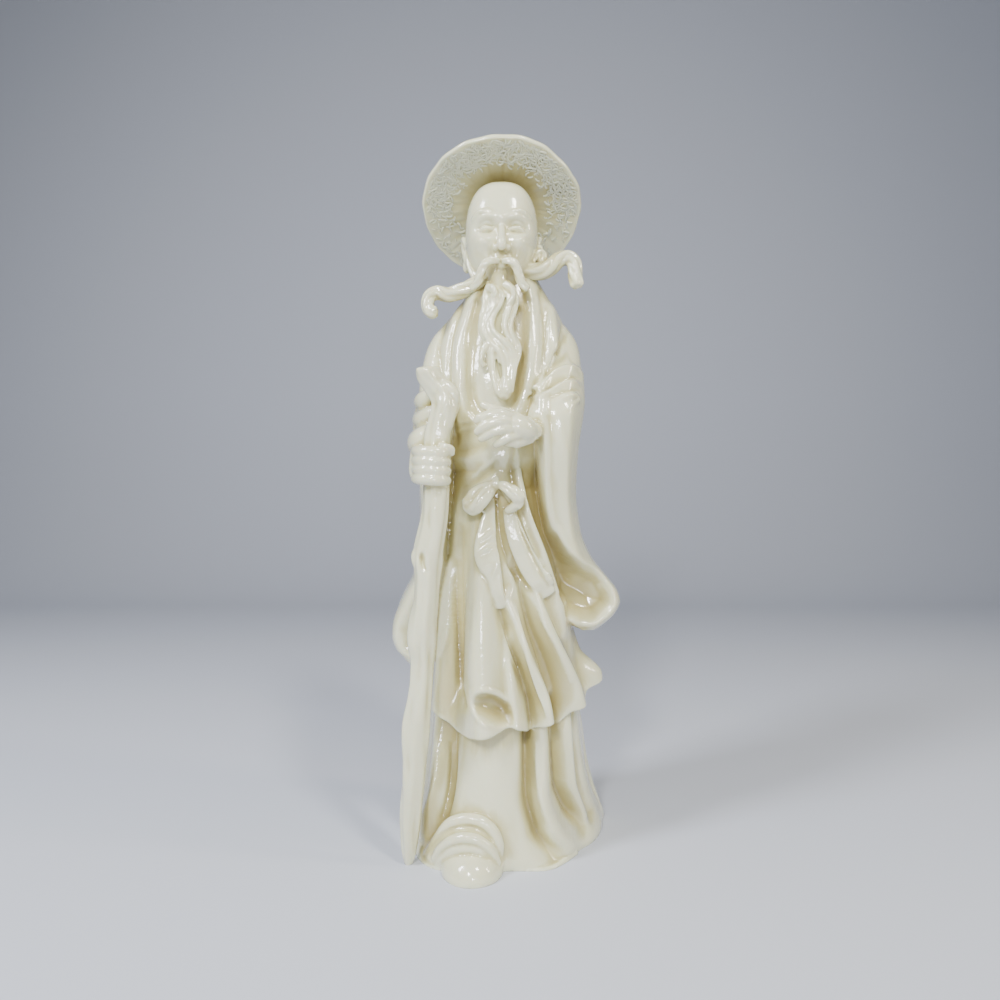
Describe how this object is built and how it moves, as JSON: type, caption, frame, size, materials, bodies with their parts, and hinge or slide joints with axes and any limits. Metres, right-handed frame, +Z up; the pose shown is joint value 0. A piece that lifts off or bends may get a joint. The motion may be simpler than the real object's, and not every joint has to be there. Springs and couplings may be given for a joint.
{
  "type": "porcelain figurine",
  "caption": "Standing bearded sage in wide-sleeved robes with a straw hat and a gnarled staff, ivory glazed porcelain.",
  "frame": {"origin": "on the flat underside the figure stands on, under the figure's upright axis", "axes": "+Z up along the figure, -Y to the front (the way the face looks), +X to the viewer's right"},
  "size_m": [0.0714, 0.0637, 0.2197],
  "materials": {
    "ivory_porcelain": "glossy ivory glaze"
  },
  "bodies": {
    "root": {"sage_figure": "ivory_porcelain"}
  },
  "joints": []
}
